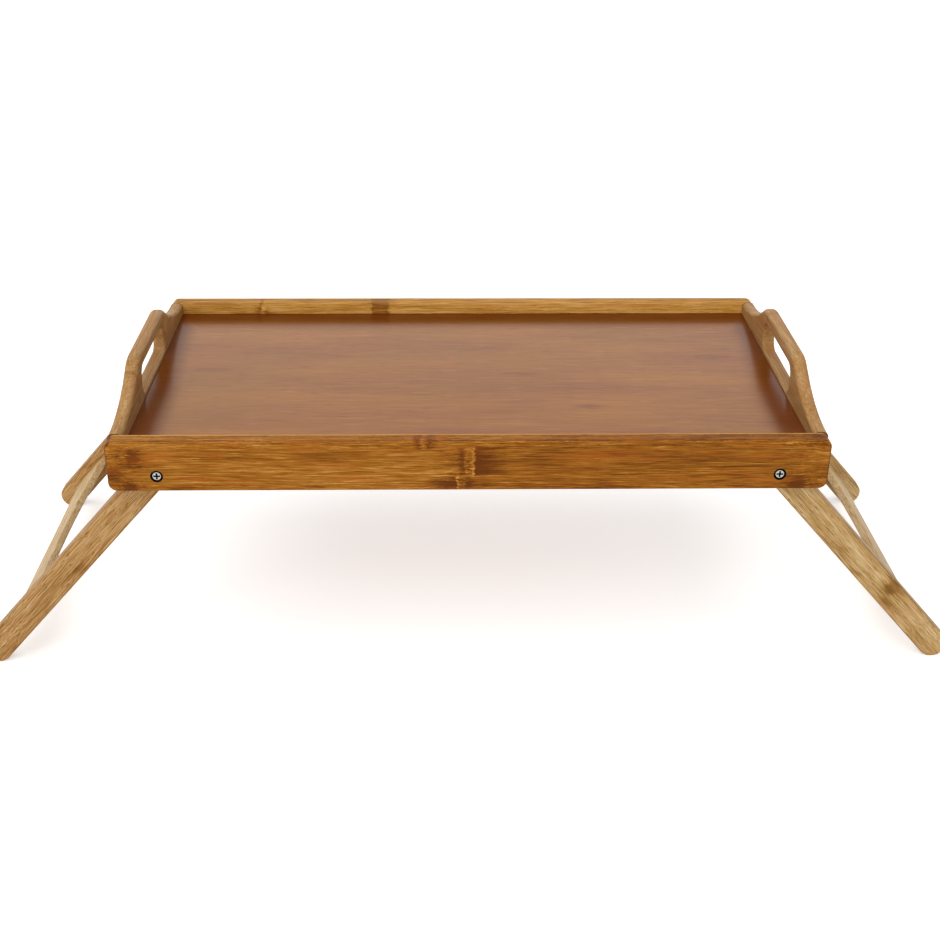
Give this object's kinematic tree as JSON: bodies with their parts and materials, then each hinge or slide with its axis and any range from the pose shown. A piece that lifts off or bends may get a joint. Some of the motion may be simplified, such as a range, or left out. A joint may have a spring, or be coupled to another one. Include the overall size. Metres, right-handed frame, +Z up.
{
  "type": "bed tray table",
  "caption": "Bamboo bed tray with a framed panel, arched end boards with hand holes and two folding leg frames.",
  "frame": {"origin": "on the floor, under the middle of the tray, with both leg frames open", "axes": "+X along the tray towards the right end board, +Y from the front rail to the back rail, +Z up"},
  "size_m": [0.7252, 0.28, 0.215],
  "materials": {
    "bamboo_frame": "clear satin lacquer",
    "bamboo_legs": "clear satin lacquer",
    "stained_panel": "semi-gloss lacquer",
    "beech_dowels": "raw, glued in",
    "zinc_steel": "zinc plated"
  },
  "bodies": {
    "tray": {"front_rail": "bamboo_frame", "back_rail": "bamboo_frame", "left_end_board": "bamboo_frame", "right_end_board": "bamboo_frame", "tray_panel": "stained_panel", "left_front_corner_dowels": "beech_dowels", "left_back_corner_dowels": "beech_dowels", "right_front_corner_dowels": "beech_dowels", "right_back_corner_dowels": "beech_dowels", "left_front_pivot_screw": "zinc_steel", "left_front_spacer_washer": "zinc_steel", "left_front_nut_washer": "zinc_steel", "left_front_lock_nut": "zinc_steel", "left_back_pivot_screw": "zinc_steel", "left_back_spacer_washer": "zinc_steel", "left_back_nut_washer": "zinc_steel", "left_back_lock_nut": "zinc_steel", "right_front_pivot_screw": "zinc_steel", "right_front_spacer_washer": "zinc_steel", "right_front_nut_washer": "zinc_steel", "right_front_lock_nut": "zinc_steel", "right_back_pivot_screw": "zinc_steel", "right_back_spacer_washer": "zinc_steel", "right_back_nut_washer": "zinc_steel", "right_back_lock_nut": "zinc_steel"},
    "left_leg_frame": {"left_front_leg": "bamboo_legs", "left_back_leg": "bamboo_legs", "left_crossbar": "bamboo_legs"},
    "right_leg_frame": {"right_front_leg": "bamboo_legs", "right_back_leg": "bamboo_legs", "right_crossbar": "bamboo_legs"}
  },
  "joints": [
    {"name": "left_leg_fold", "type": "hinge", "parent": "tray", "child": "left_leg_frame", "pos_m": [-0.216, 0, 0.16352], "axis": [0, -1, 0], "range_deg": [0, 131.6]},
    {"name": "right_leg_fold", "type": "hinge", "parent": "tray", "child": "right_leg_frame", "pos_m": [0.216, 0, 0.16352], "axis": [0, 1, 0], "range_deg": [0, 131.6]}
  ]
}
